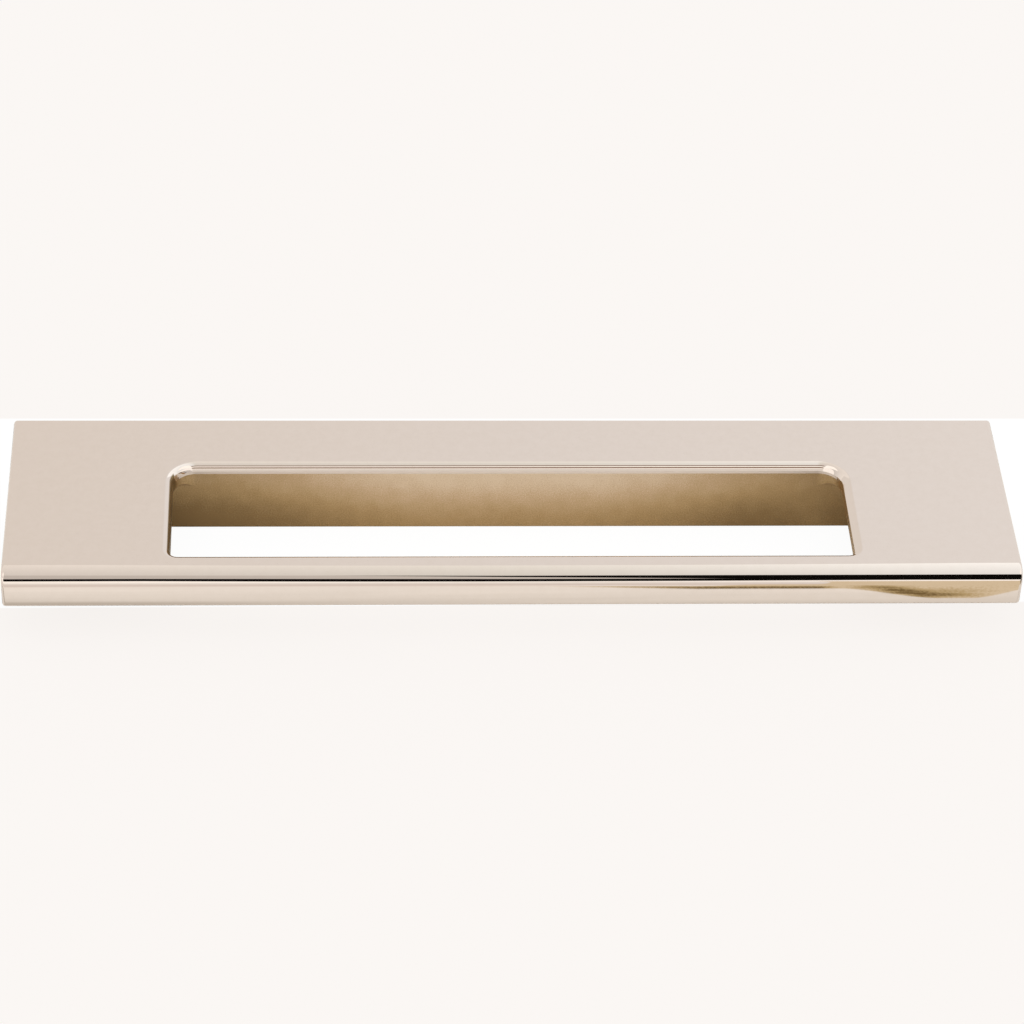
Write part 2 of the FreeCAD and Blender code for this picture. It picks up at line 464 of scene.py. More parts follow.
class Skin:
    """Collects patches of a surface, each corner with its exact normal."""

    def __init__(self) -> None:
        """Start with no patches."""
        self.bm = bmesh.new()
        self.layer = self.bm.loops.layers.float_vector.new("exact_normal")

    def face(self, corners: list[Corner], finish: Finish) -> None:
        """Add one face, turned to agree with its normals.

        Args:
            corners: its corners in order, each a place and a normal.
            finish: the finish it takes.
        """
        kept = [c for i, c in enumerate(corners) if (c[0] - corners[i - 1][0]).length > 1e-8]
        if len(kept) < 3:
            return
        turn = Vector()
        for (a, _), (b, _) in zip(kept, kept[1:] + kept[:1]):
            turn += a.cross(b)
        if turn.dot(sum((n for _, n in kept), Vector())) < 0:
            kept.reverse()
        face = self.bm.faces.new([self.bm.verts.new(p) for p, _ in kept])
        face.material_index = finish.value
        for loop, (_, normal) in zip(face.loops, kept):
            loop[self.layer] = normal

    def grid(self, rows: list[list[Corner]], finish: Finish) -> None:
        """Add the faces between neighbouring rows of corners.

        Args:
            rows: equally long rows of places and normals.
            finish: the finish they take.
        """
        for low, high in zip(rows, rows[1:]):
            for i in range(len(low) - 1):
                self.face([low[i], low[i + 1], high[i + 1], high[i]], finish)

    def region(self, outlines: list[list[Vector]], normal: Vector, finish: Finish) -> None:
        """Fill a flat region that may have holes.

        Args:
            outlines: its closed outlines, the outer one and any holes.
            normal: the way it faces.
            finish: the finish it takes.
        """
        edges = []
        for outline in outlines:
            verts = [self.bm.verts.new(p) for p in outline]
            for i, vert in enumerate(verts):
                edges.append(self.bm.edges.new((vert, verts[(i + 1) % len(verts)])))
        made = bmesh.ops.triangle_fill(self.bm, use_beauty=True, use_dissolve=False, edges=edges)
        faces = [f for f in made["geom"] if isinstance(f, bmesh.types.BMFace)]
        for face in faces:
            face.normal_update()
            if face.normal.dot(normal) < 0:
                face.normal_flip()
            face.material_index = finish.value
            for loop in face.loops:
                loop[self.layer] = normal

    def finish(self, name: str, materials: list[bpy.types.Material]) -> bpy.types.Object:
        """Close the seams and make the object.

        Args:
            name: the object's name.
            materials: its materials, in the order of Finish.

        Returns:
            The finished object, linked to the scene.
        """
        bmesh.ops.remove_doubles(self.bm, verts=self.bm.verts, dist=1.5e-7)
        open_edges = sum(1 for e in self.bm.edges if len(e.link_faces) != 2)
        mesh = bpy.data.meshes.new(name)
        self.bm.to_mesh(mesh)
        self.bm.free()
        normals = [Vector(item.vector).normalized() for item in mesh.attributes["exact_normal"].data]
        mesh.attributes.remove(mesh.attributes["exact_normal"])
        mesh.polygons.foreach_set("use_smooth", [True] * len(mesh.polygons))
        mesh.normals_split_custom_set([tuple(n) for n in normals])
        for material in materials:
            mesh.materials.append(material)
        made = new_object(name, mesh)
        LOG.info("%s: %d faces, %d open edges", name, len(mesh.polygons), open_edges)
        return made


@dataclass(frozen=True)
class Bend:
    """A corner of the section: where it is, its round and the number of steps."""

    y: float
    z: float
    radius: float
    steps: int
    hollow: bool = False


@dataclass
class Casting:
    """The whole pull: a thin plate from the deep flange to the low front bar. In millimetres."""

    half_length: float = 63.5
    top: float = 5.25
    plate: float = 2.4
    flange: float = 9.3
    opening_depth: float = 16.9
    bar_depth: float = 4.0
    bar_height: float = 5.2
    front_round: float = 2.0
    flange_hollow: float = 1.2
    bar_hollow: float = 0.6
    edge_round: float = 0.35
    end_round: float = 0.45
    half_opening: float = 42.85
    back_corner: float = 3.0
    front_corner: float = 1.0
    rim_round: float = 0.95
    under_round: float = 0.25
    back_rim: tuple[Span, ...] = ((43.5, 51.3), (52.4, 54.6), (63.2, 57.9), (70.0, 61.2), (90.0, 61.2))
    screw_x: float = 50.8
    bore: float = 2.083
    bore_depth: float = 7.0
    mouth_rim: float = 0.317
    drill_half_angle: float = 59.0
    skin: Skin = field(default_factory=Skin)

    @property
    def under(self) -> float:
        """Height of the plate's underside."""
        return self.top - self.plate

    @property
    def low(self) -> float:
        """Height of the front bar's underside."""
        return self.top - self.bar_height

    @property
    def bar(self) -> float:
        """Where the front bar's back face is."""
        return -self.flange - self.opening_depth

    @property
    def straight(self) -> float:
        """Half the length between the rounds of the two ends."""
        return self.half_length - self.end_round

    def bends(self) -> list[Bend]:
        """List the section's corners, from the lower back edge round over the top."""
        front = self.bar - self.bar_depth
        return [
            Bend(0.0, -self.top, self.edge_round, 7),
            Bend(0.0, self.top, self.edge_round, 7),
            Bend(front, self.top, self.front_round, 28),
            Bend(front, self.low, self.edge_round, 7),
            Bend(self.bar, self.low, self.edge_round, 7),
            Bend(self.bar, self.under, self.bar_hollow, 8, hollow=True),
            Bend(-self.flange, self.under, self.flange_hollow, 12, hollow=True),
            Bend(-self.flange, -self.top, self.edge_round, 7),
        ]

    def arcs(self) -> list[list[SectionPoint]]:
        """Round each corner of the section.

        Returns:
            For each corner its points in order, as y, z and the outward normal's y and z.
        """
        bends = self.bends()
        made = []
        for i, bend in enumerate(bends):
            before, after = bends[i - 1], bends[(i + 1) % len(bends)]
            into = Vector((bend.y - before.y, bend.z - before.z)).normalized()
            out = Vector((after.y - bend.y, after.z - bend.z)).normalized()
            centre = Vector((bend.y, bend.z)) - into * bend.radius + out * bend.radius
            first = math.atan2(-into.x, into.y)
            turn = -math.pi / 2 if bend.hollow else math.pi / 2
            side = -1.0 if bend.hollow else 1.0
            arc = []
            for k in range(bend.steps + 1):
                angle = first + turn * k / bend.steps
                ny, nz = math.cos(angle), math.sin(angle)
                arc.append((centre.x + side * bend.radius * ny, centre.y + side * bend.radius * nz, ny, nz))
            made.append(arc)
        return made

    def corner(self, x: float, y: float, z: float, nx: float, ny: float, nz: float) -> Corner:
        """Make a corner of a face from millimetres and a normal."""
        return Vector((x, y, z)) * MM, Vector((nx, ny, nz))

    def row(self, x: float, arc: list[SectionPoint]) -> list[Corner]:
        """Lay points of the section at one place along the pull."""
        return [self.corner(x, y, z, 0, ny, nz) for y, z, ny, nz in arc]

    def long_rounds(self) -> None:
        """Add the rounds and the plain flats that run the whole length."""
        arcs = self.arcs()
        for i, (bend, arc) in enumerate(zip(self.bends(), arcs)):
            if not bend.hollow:
                rows = [self.row(s * self.straight, arc) for s in (-1, 1)]
                self.skin.grid(rows, Finish.RECESS if i in (4, 7) else Finish.POLISHED)
        # The front face, the bar's underside and the flange's lower face
        for first, second, finish in ((2, 3, Finish.POLISHED), (3, 4, Finish.RECESS), (7, 0, Finish.RECESS)):
            flat = [arcs[first][-1], arcs[second][0]]
            self.skin.grid([self.row(s * self.straight, flat) for s in (-1, 1)], finish)

    def ends(self) -> None:
        """Add the two ends with the round along their outline."""
        outline = [p for arc in self.arcs() for p in arc]
        outline.append(outline[0])
        steps = 8
        for side in (-1, 1):
            rows = []
            for k in range(steps + 1):
                angle = math.pi / 2 * k / steps
                inset = self.end_round * (1 - math.cos(angle))
                x = side * (self.straight + self.end_round * math.sin(angle))
                row = []
                for y, z, ny, nz in outline:
                    along, across = side * math.sin(angle), math.cos(angle)
                    row.append(self.corner(x, y - ny * inset, z - nz * inset, along, ny * across, nz * across))
                rows.append(row)
            self.skin.grid(rows, Finish.POLISHED)
            self.skin.region([[p for p, _ in rows[-1][:-1]]], Vector((side, 0, 0)), Finish.POLISHED)

    def opening_loop(self) -> list[dict]:
        """List the points round the opening, seen from above.

        Returns:
            Points with x and y, the way into the metal dx and dy, the round under them and the
            height of the wall's foot. Flush ones lie on the flange's or the bar's own face.
        """
        half, back, front = self.half_opening, -self.flange, self.bar
        big, small = self.back_corner, self.front_corner
        wide, slim = self.flange_hollow, self.bar_hollow
        points: list[dict] = []

        def put(centre: Span, radius: float, sine: float, low: float, foot: float, flush: bool) -> None:
            """Add one point of a corner, given the sine of its angle."""
            angle = math.asin(max(-1.0, min(1.0, sine)))
            dx, dy = math.cos(angle), math.sin(angle)
            x, y = centre[0] + radius * dx, centre[1] + radius * dy
            points.append({"x": x, "y": y, "dx": dx, "dy": dy, "low": low, "foot": foot, "flush": flush})

        # The smaller corner: its foot comes up the bar's hollow round, then gets its lower round
        centre = (half - small, front + small)
        steps = self.bends()[5].steps
        for k in range(steps + 1):
            turn = math.pi / 2 * k / steps
            sine = (slim - slim * math.cos(turn) - small) / small
            put(centre, small, sine, 0.0, self.under - slim + slim * math.sin(turn), k == 0)
        first = math.asin((slim - small) / small)
        for k in range(1, 9):
            low = self.under_round * (0.5 - 0.5 * math.cos(math.pi * k / 8))
            put(centre, small, math.sin(first * (1 - k / 8)), low, self.under + low, False)
        # The larger corner, the other way round
        centre = (half - big, back - big)
        last = math.asin((big - wide) / big)
        for k in range(11):
            low = self.under_round * (0.5 + 0.5 * math.cos(math.pi * k / 10))
            put(centre, big, math.sin(last * k / 10), low, self.under + low, False)
        steps = self.bends()[6].steps
        for k in range(1, steps + 1):
            turn = math.pi / 2 * k / steps
            sine = (big - wide + wide * math.sin(turn)) / big
            put(centre, big, sine, 0.0, self.under - wide + wide * math.cos(turn), k == steps)
        mirrored = [{**p, "x": -p["x"], "dx": -p["dx"]} for p in reversed(points)]
        return points + mirrored

    def rim_turn(self, angle: float, side: float, ahead: float) -> float:
        """Turn the rim's polish, quickest in its middle, and stop early at the back and the right.

        Args:
            angle: the angle of the round, from 0 at the top plane.
            side: how far the metal lies to the right of the place, from -1 to 1.
            ahead: how far it lies to the front, from -1 to 1.

        Returns:
            The angle of the normal from upright.
        """
        share = min(1.0, max(side, 0.0) * (1.0 + 0.6 * max(ahead, 0.0)))
        corner = max(side, 0.0) * (62.0 * max(ahead, 0.0) + 22.0 * max(-ahead, 0.0))
        most = math.radians(90.0 - 43.0 * share**2 - corner)
        turned = min(angle * (1.0 + 0.18 * math.sin(2 * angle)), most)
        if ahead > 0:
            return min(turned + math.radians(6.0) * ahead**2 * max(0.0, math.sin(3 * angle)), most)
        slow = turned
        for (a, first), (b, last) in zip(self.back_rim, self.back_rim[1:]):
            if math.radians(a) <= angle:
                slow = math.radians(first + (last - first) * min(1.0, (math.degrees(angle) - a) / (b - a)))
        return turned + (min(slow, turned) - turned) * ahead**2

    def opening(self) -> None:
        """Add the rim, the walls and the lower edge of the finger opening."""
        loop = self.opening_loop()
        closed = loop + loop[:1]
        rim = []
        for k in range(15):
            angle = math.pi / 2 * k / 14
            inward, up = math.sin(angle), math.cos(angle)
            offset = self.rim_round * (1 - inward)
            z = self.top - self.rim_round * (1 - up)
            row = []
            for p in closed:
                lean = self.rim_turn(angle, p["dx"], -p["dy"])
                x, y, flat = p["x"] + p["dx"] * offset, p["y"] + p["dy"] * offset, math.sin(lean)
                row.append(self.corner(x, y, z, -p["dx"] * flat, -p["dy"] * flat, math.cos(lean)))
            rim.append(row)
        self.skin.grid(rim, Finish.RECESS)
        head = self.top - self.rim_round
        for a, b in zip(closed, closed[1:]):
            if a["flush"] and b["flush"]:
                continue
            wall = [
                [self.corner(p["x"], p["y"], z, -p["dx"], -p["dy"], 0) for p, z in ((a, za), (b, zb))]
                for za, zb in ((head, head), (a["foot"], b["foot"]))
            ]
            self.skin.grid(wall, Finish.RECESS)
            if a["low"] > 0 or b["low"] > 0:
                rows = []
                for k in range(7):
                    angle = math.pi / 2 * k / 6
                    inward, down = math.cos(angle), math.sin(angle)
                    row = []
                    for p in (a, b):
                        out = p["low"] * (1 - inward)
                        z = self.under + p["low"] * (1 - down)
                        x, y = p["x"] + p["dx"] * out, p["y"] + p["dy"] * out
                        row.append(self.corner(x, y, z, -p["dx"] * inward, -p["dy"] * inward, -down))
                    rows.append(row)
                self.skin.grid(rows, Finish.RECESS)

    def top_plane(self) -> None:
        """Add the flat top with the opening in it."""
        edge, back = self.straight, -self.edge_round
        front = self.bar - self.bar_depth + self.front_round
        outer = [(-edge, front), (edge, front), (edge, back), (-edge, back)]
        out = self.rim_round
        inner = [(p["x"] + p["dx"] * out, p["y"] + p["dy"] * out) for p in self.opening_loop()]
        outlines = [[Vector((x, y, self.top)) * MM for x, y in line] for line in (outer, inner)]
        self.skin.region(outlines, Vector((0, 0, 1)), Finish.POLISHED)

    def underside(self) -> None:
        """Add the plate's flat underside, the hollow rounds and the faces beside the opening."""
        edge, half = self.straight, self.half_opening
        arcs = self.arcs()
        behind, ahead = -self.flange - self.flange_hollow, self.bar + self.bar_hollow
        loop = [p for p in self.opening_loop() if ahead - 1e-6 <= p["y"] <= behind + 1e-6]
        for side in (-1, 1):
            path = [(p["x"] + p["dx"] * p["low"], p["y"] + p["dy"] * p["low"]) for p in loop if p["x"] * side > 0]
            ends = [(side * edge, behind), (side * edge, ahead)]
            flat = [Vector((x, y, self.under)) * MM for x, y in path + (ends if side > 0 else ends[::-1])]
            self.skin.region([flat], Vector((0, 0, -1)), Finish.RECESS)
            # The hollow rounds run from the opening's corners to the ends
            for arc, radius, centre in (
                (arcs[5], self.front_corner, self.bar + self.front_corner),
                (arcs[6], self.back_corner, -self.flange - self.back_corner),
            ):
                near, far = [], []
                for y, z, ny, nz in arc:
                    x = half - radius + math.sqrt(max(0.0, radius**2 - (y - centre) ** 2))
                    near.append(self.corner(side * x, y, z, 0, ny, nz))
                    far.append(self.corner(side * edge, y, z, 0, ny, nz))
                self.skin.grid([near, far], Finish.RECESS)
        # The flange's front face and the bar's back face, each with a part beside the opening
        high = self.top - self.rim_round
        for y, foot, hollow, radius, facing in (
            (-self.flange, -self.top + self.edge_round, self.flange_hollow, self.back_corner, -1),
            (self.bar, self.low + self.edge_round, self.bar_hollow, self.front_corner, 1),
        ):
            mid, inside = self.under - hollow, half - radius
            outline = [(-edge, foot), (edge, foot), (edge, mid), (inside, mid), (inside, high)]
            outline += [(-inside, high), (-inside, mid), (-edge, mid)]
            wall = [Vector((x, y, z)) * MM for x, z in outline]
            self.skin.region([wall], Vector((0, facing, 0)), Finish.RECESS)

    def back(self) -> None:
        """Add the flat back face and its two screw holes."""
        edge, high = self.straight, self.top - self.edge_round
        outer = [(-edge, -high), (edge, -high), (edge, high), (-edge, high)]
        outlines = [[Vector((x, 0, z)) * MM for x, z in outer]]
        count = 64
        lean = math.radians(self.drill_half_angle)
        mouth = self.bore + self.mouth_rim
        tip = -self.bore_depth - self.bore / math.tan(lean)
        half = math.sqrt(0.5)
        for side in (-1, 1):
            turns = [math.tau * k / count for k in range(count + 1)]

            def ring(radius: float, y: float, inward: float, out: float, centre: float) -> list[Corner]:
                """Make one ring of corners round the hole's axis."""
                return [
                    self.corner(
                        centre + radius * math.cos(a),
                        y,
                        radius * math.sin(a),
                        -inward * math.cos(a),
                        out,
                        -inward * math.sin(a),
                    )
                    for a in turns
                ]

            x = side * self.screw_x
            mouth_ring = ring(mouth, 0.0, half, half, x)
            outlines.append([p for p, _ in mouth_ring[:-1]])
            self.skin.grid([mouth_ring, ring(self.bore, -self.mouth_rim, half, half, x)], Finish.BACK)
            walls = [ring(self.bore, y, 1.0, 0.0, x) for y in (-self.mouth_rim, -self.bore_depth)]
            self.skin.grid(walls, Finish.RECESS)
            point = [
                ring(self.bore, -self.bore_depth, math.cos(lean), math.sin(lean), x),
                ring(0.0, tip, math.cos(lean), math.sin(lean), x),
            ]
            self.skin.grid(point, Finish.RECESS)
        self.skin.region(outlines, Vector((0, 1, 0)), Finish.BACK)

    def build(self, materials: list[bpy.types.Material]) -> bpy.types.Object:
        """Skin the whole casting and put it in place of its CAD solid.

        Args:
            materials: the materials, in the order of Finish.

        Returns:
            The finished piece.
        """
        self.long_rounds()
        self.ends()
        self.opening()
        self.top_plane()
        self.underside()
        self.back()
        piece = self.skin.finish("pull_casting", materials)
        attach(piece, BODY)
        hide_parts("tab_pull")
        return piece


@dataclass
class ScrewThreads:
    """The threads cut in the two screw holes. Sizes in millimetres."""

    bore: float = 2.083
    ridge: float = 0.33
    pitch: float = 0.794
    start: float = 0.35
    length: float = 6.3
    spacing: float = 101.6
    runout: float = 14.0

    def tree(self, material: bpy.types.Material) -> bpy.types.NodeTree:
        """Build the tree that winds the ridge and repeats it in both holes.

        Args:
            material: the finish of the threads.

        Returns:
            The node tree, with its sizes as named inputs.
        """
        tree = bpy.data.node_groups.new("screw_threads", "GeometryNodeTree")
        face = tree.interface
        face.new_socket("Geometry", in_out="OUTPUT", socket_type="NodeSocketGeometry")
        for name in ("Radius", "Ridge", "Pitch", "Start", "Length", "Spacing"):
            face.new_socket(name, in_out="INPUT", socket_type="NodeSocketFloat")
        graph = Graph(tree)
        sizes = graph.add("NodeGroupInput").outputs
        turns = graph.math("DIVIDE", sizes["Length"], sizes["Pitch"])
        spiral = graph.add(
            "GeometryNodeCurveSpiral",
            {
                "Resolution": 40,
                "Rotations": turns,
                "Start Radius": sizes["Radius"],
                "End Radius": sizes["Radius"],
                "Height": sizes["Length"],
            },
        )
        upright = graph.add("GeometryNodeSetCurveNormal", {"Curve": spiral.outputs[0]}, mode="Z_UP")
        # The ridge runs out at both ends
        share = graph.add("GeometryNodeSplineParameter").outputs["Factor"]
        rise = graph.math("MULTIPLY", share, self.runout, clamp=True)
        fall = graph.math("MULTIPLY", graph.math("SUBTRACT", 1.0, share), self.runout, clamp=True)
        taper = graph.math("MAXIMUM", graph.product(rise, fall), 0.02)
        half = graph.product(sizes["Pitch"], 0.40)
        crest = graph.product(sizes["Pitch"], 0.07)
        points = []
        for across, deep, side in ((half, 0.0, -1.0), (crest, 1.0, -1.0), (crest, 1.0, 1.0), (half, 0.0, 1.0)):
            depth = graph.product(sizes["Ridge"], deep)
            points.append(graph.join(X=depth, Y=graph.product(across, side)))
        profile = graph.add(
            "GeometryNodeCurvePrimitiveQuadrilateral",
            {"Point 1": points[0], "Point 2": points[1], "Point 3": points[2], "Point 4": points[3]},
            mode="POINTS",
        )
        sized = graph.add("GeometryNodeSetCurveRadius", {"Curve": upright.outputs[0], "Radius": taper})
        ridge = graph.add(
            "GeometryNodeCurveToMesh",
            {"Curve": sized.outputs[0], "Profile Curve": profile.outputs[0], "Scale": taper, "Fill Caps": True},
        )
        depth = graph.product(sizes["Start"], -1.0)
        shift = graph.add("ShaderNodeCombineXYZ", {"Y": depth}).outputs[0]
        laid = graph.add(
            "GeometryNodeTransform",
            {"Geometry": ridge.outputs[0], "Translation": shift, "Rotation": (math.pi / 2, 0.0, 0.0)},
        )
        left = graph.product(sizes["Spacing"], -0.5)
        holes = graph.add(
            "GeometryNodeMeshLine",
            {
                "Count": 2,
                "Start Location": graph.add("ShaderNodeCombineXYZ", {"X": left}).outputs[0],
                "Offset": graph.add("ShaderNodeCombineXYZ", {"X": sizes["Spacing"]}).outputs[0],
            },
        )
        both = graph.add("GeometryNodeInstanceOnPoints", {"Points": holes.outputs[0], "Instance": laid.outputs[0]})
        real = graph.add("GeometryNodeRealizeInstances", {"Geometry": both.outputs[0]})
        dressed = graph.add("GeometryNodeSetMaterial", {"Geometry": real.outputs[0], "Material": material})
        graph.add("NodeGroupOutput", {"Geometry": dressed.outputs[0]})
        return tree

    def build(self, material: bpy.types.Material) -> bpy.types.Object:
        """Wind the threads and turn them into a plain mesh.

        Args:
            material: the finish of the threads.

        Returns:
            The finished piece.
        """
        tree = self.tree(material)
        host = new_object("thread_host", bpy.data.meshes.new("thread_host"))
        modifier = host.modifiers.new("threads", "NODES")
        modifier.node_group = tree
        sizes = {
            "Radius": self.bore,
            "Ridge": self.ridge,
            "Pitch": self.pitch,
            "Start": self.start,
            "Length": self.length,
            "Spacing": self.spacing,
        }
        for item in tree.interface.items_tree:
            if item.item_type == "SOCKET" and item.in_out == "INPUT":
                modifier[item.identifier] = sizes[item.name] * MM
        bpy.context.view_layer.update()
        seen = host.evaluated_get(bpy.context.evaluated_depsgraph_get())
        mesh = bpy.data.meshes.new_from_object(seen)
        host.modifiers.remove(modifier)
        bpy.data.objects.remove(host)
        mesh.name = "screw_threads"
        piece = new_object("screw_threads", mesh)
        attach(piece, BODY)
        LOG.info("screw_threads: %d faces", len(mesh.polygons))
        return piece


# ---- Studio


@dataclass
class Studio:
    """The table, the soft light round it and the camera."""

    paper: Colour = (0.965, 0.930, 0.905)
    table_z: float = -5.26
    table_radius: float = 2.5
    shadow: float = 0.07
    # Painted light: where the table is whiter round the pull, in millimetres
    painted_light_strip: tuple[float, float] = (-24.4, 13.1)
    paper_from: float = 35.0
    paper_length: float = 150.0
    card_y: float = -36.2
    sky: float = 0.86
    lens_px: float = 3624.0
    camera_mm: tuple[float, float, float] = (-26.71, -363.42, 304.09)
    camera_right: tuple[float, float, float] = (0.99829, -0.04513, 0.03704)
    camera_down: tuple[float, float, float] = (-0.00154, -0.65462, -0.75596)

    def mirrored(self, graph: Graph, place: Socket) -> tuple:
        """Paint a reflection on the table, seen by the polished front alone: bands darker next to the
        pull, and a brown fabric far right.

        Args:
            graph: the table material's nodes.
            place: the place on the table.

        Returns:
            The colour's output, and the output of how much of it is used, in front of the pull only.
        """
        x, y, _ = graph.add("ShaderNodeSeparateXYZ", {0: place}).outputs
        x, ahead = graph.product(x, 1.0 / MM), graph.product(y, -1.0 / MM)
        streaks = graph.noise(graph.drawn(place, (28.0, 900.0, 1.0)), 1.0, 3.0)
        far = graph.math("SUBTRACT", graph.waver(ahead, streaks, 0.7), self.paper_from)
        far = graph.math("DIVIDE", far, self.paper_length)
        # Painted reflection and shade: bands of light and dark on the table as the front mirrors it, darkest next
        # to the pull
        paper = graph.ramp(
            far,
            [
                (0.006, (0.72, 0.71, 0.68)),
                (0.011, (0.86, 0.845, 0.81)),
                (0.019, (0.95, 0.94, 0.91)),
                (0.028, (1.02, 1.01, 0.985)),
                (0.038, (1.02, 1.0, 0.98)),
                (0.057, (0.92, 0.88, 0.86)),
                (0.085, (0.83, 0.77, 0.75)),
                (0.19, (0.93, 0.91, 0.89)),
                (0.46, (1.04, 1.04, 1.03)),
                (0.90, (1.25, 1.25, 1.24)),
            ],
        )
        paper = graph.dim(paper, graph.waver(1.0, streaks, 0.14))
        # A faint shade along the lower edge of the left half
        dusky = graph.product(graph.step(x, -15.0, -52.0), graph.step(ahead, 37.2, 36.6))
        paper = graph.mix(graph.product(dusky, 0.42), paper, (0.30, 0.25, 0.20))
        # The painted reflection of a brown fabric: a fold that starts as a thin line and widens towards the right
        # end
        lobe = graph.band(x, (42.0, 55.0), (59.0, 68.0))
        left = graph.math("MAXIMUM", graph.math("SUBTRACT", 24.0, x), 0.0)
        near = graph.scaled(left, 0.03, graph.scaled(lobe, -1.88, 39.08))
        deep = graph.math("SUBTRACT", ahead, near)
        reach = 0.12
        for span, more in (((10.0, 28.0), 0.4), ((26.0, 33.0), 5.2), ((40.0, 50.0), 45.0), ((46.0, 56.0), 60.0)):
            reach = graph.scaled(graph.step(x, *span), more, reach)
        fade = graph.scaled(graph.step(x, 24.0, 29.0), 2.6, 0.25)
        outer = graph.step(graph.math("SUBTRACT", deep, reach), fade, 0.0)
        painted_cloth_reflection = graph.product(graph.step(deep, -0.1, 0.12), outer)
        folds = graph.noise(graph.drawn(place, (130.0, 1900.0, 1.0), 0.05), 1.0, 4.0)
        dim = graph.band(x, (41.0, 50.0), (52.5, 64.0))
        rough = graph.step(folds, 0.25, 0.62)
        edge = graph.scaled(graph.step(deep, 0.1, 0.6), 0.28, 0.72)
        core = graph.product(graph.step(deep, 2.4, 0.8), graph.scaled(rough, 0.5, 0.5), edge)
        line = graph.product(graph.step(deep, 0.62, 0.3), graph.band(x, (4.0, 30.0), (39.0, 43.0)))
        weave = graph.noise(graph.drawn(place, (2200.0, 5200.0, 1.0), 0.3), 1.0, 2.0)
        dusk = graph.waver(graph.scaled(dim, core, line), weave, 0.9)
        dusk = graph.waver(dusk, folds, 0.35, clamp=True)
        browns = ((0.0, (0.83, 0.72, 0.535)), (0.5, (0.56, 0.44, 0.235)), (1.0, (0.20, 0.138, 0.055)))
        brown = graph.ramp(dusk, browns)
        return graph.mix(painted_cloth_reflection, paper, brown), graph.step(ahead, 34.4, 34.9)

    def table(self) -> bpy.types.Object:
        """Lay the pale table that the pull's flange stands on.

        Returns:
            The table.
        """
        mesh = bpy.data.meshes.new("table")
        bm = bmesh.new()
        bmesh.ops.create_circle(bm, cap_ends=True, segments=96, radius=self.table_radius)
        bmesh.ops.translate(bm, verts=bm.verts, vec=(0, 0, self.table_z * MM))
        bm.to_mesh(mesh)
        bm.free()
        material, graph = new_material("pale_table")
        seen, glossy = graph.rays()
        matt = graph.add("ShaderNodeBsdfDiffuse", {"Color": (0.95, 0.945, 0.93)}).outputs[0]
        place = graph.place()
        spot = graph.split(place)
        # Painted light: a whiter strip of table under and just behind the pull, seen by the camera, that lifts the
        # shade under the opening
        front, rear = self.painted_light_strip
        slope = graph.scaled(spot[0], -0.0045, spot[1])
        near, far = graph.step_mm(slope, (front, front + 0.3)), graph.step_mm(spot[1], (rear, rear - 0.3))
        painted_light_strip = graph.product(near, far)
        pale = graph.mix(painted_light_strip, self.paper, (1.02, 1.02, 1.02))
        both = graph.blend(graph.product(seen, 1.0 - self.shadow), matt, graph.glow(pale))
        # The polish sees the table's painted reflection in front of the pull
        colour, used = self.mirrored(graph, place)
        graph.show(graph.blend(graph.product(used, glossy), both, graph.glow(colour)))
        mesh.materials.append(material)
        made = new_object("table", mesh)
        return made

    def dark_card(self) -> bpy.types.Object:
        """Hang the narrow dark card that draws the black line along the polished front.

        It is seen in the polish alone. Its left part holds a grey field that tapers to the right.

        Returns:
            The card.
        """
        mesh = bpy.data.meshes.new("dark_card")
        left, right, foot, head = -72.0, 130.0, -4.5, 15.0
        corners = [(left, foot), (right, foot), (right, head), (left, head)]
        mesh.from_pydata([(x * MM, self.card_y * MM, z * MM) for x, z in corners], [], [(0, 1, 2, 3)])
        material, graph = new_material("dark_card")
        x, _, z = graph.split(graph.place())
        x, z = graph.product(x, 1.0 / MM), graph.product(z, 1.0 / MM)
        minus, plus = graph.math("MINIMUM", x, 0.0), graph.math("MAXIMUM", x, 0.0)

        def dip(side: Socket, rate: float, most: float) -> Socket:
            """Rise with the square of the way to this side, up to a limit."""
            return graph.math("MINIMUM", graph.product(graph.product(side, side), rate), most)

        def past(height: Socket, soft: float) -> Socket:
            """Be 1 above this height, or below it if soft is negative."""
            return graph.step(graph.math("SUBTRACT", z, height), -soft, soft)

        low = graph.math("ADD", graph.math("ADD", dip(minus, 0.00054, 1.15), dip(plus, 0.00022, 0.55)), 4.06)
        low = graph.scaled(graph.step(x, 68.0, 70.0), -7.5, low)
        top = graph.math("ADD", graph.math("MINIMUM", graph.product(plus, 0.009), 0.22), 10.55)
        top = graph.scaled(minus, -0.045, top)
        field_low = graph.math("MINIMUM", graph.scaled(minus, -0.024, 6.4), 7.53)
        field_top = graph.scaled(minus, -0.13, graph.scaled(plus, -0.085, 8.6))
        shown = graph.product(past(low, 0.15), past(top, -0.3), graph.step(x, -70.0, -66.0))
        field = graph.product(past(field_low, 0.15), past(field_top, -0.3))
        colour = graph.mix(field, (0.004, 0.0035, 0.003), (0.68, 0.66, 0.645))
        clear = graph.add("ShaderNodeBsdfTransparent").outputs[0]
        graph.show(graph.blend(shown, clear, graph.glow(colour)))
        mesh.materials.append(material)
        made = new_object("dark_card", mesh)
        for rays in ("camera", "diffuse", "transmission", "volume_scatter", "shadow"):
            setattr(made, "visible_" + rays, False)
        return made

    def surroundings(self) -> None:
        """Set the soft light that comes from all round, as polished metal sees it."""
        world = bpy.data.worlds.new("studio")
        bpy.context.scene.world = world
        world.use_nodes = True
        graph = Graph(world.node_tree)
        seen, glossy = graph.rays()
        x, y, z = graph.split(graph.add("ShaderNodeTexCoord").outputs["Generated"])
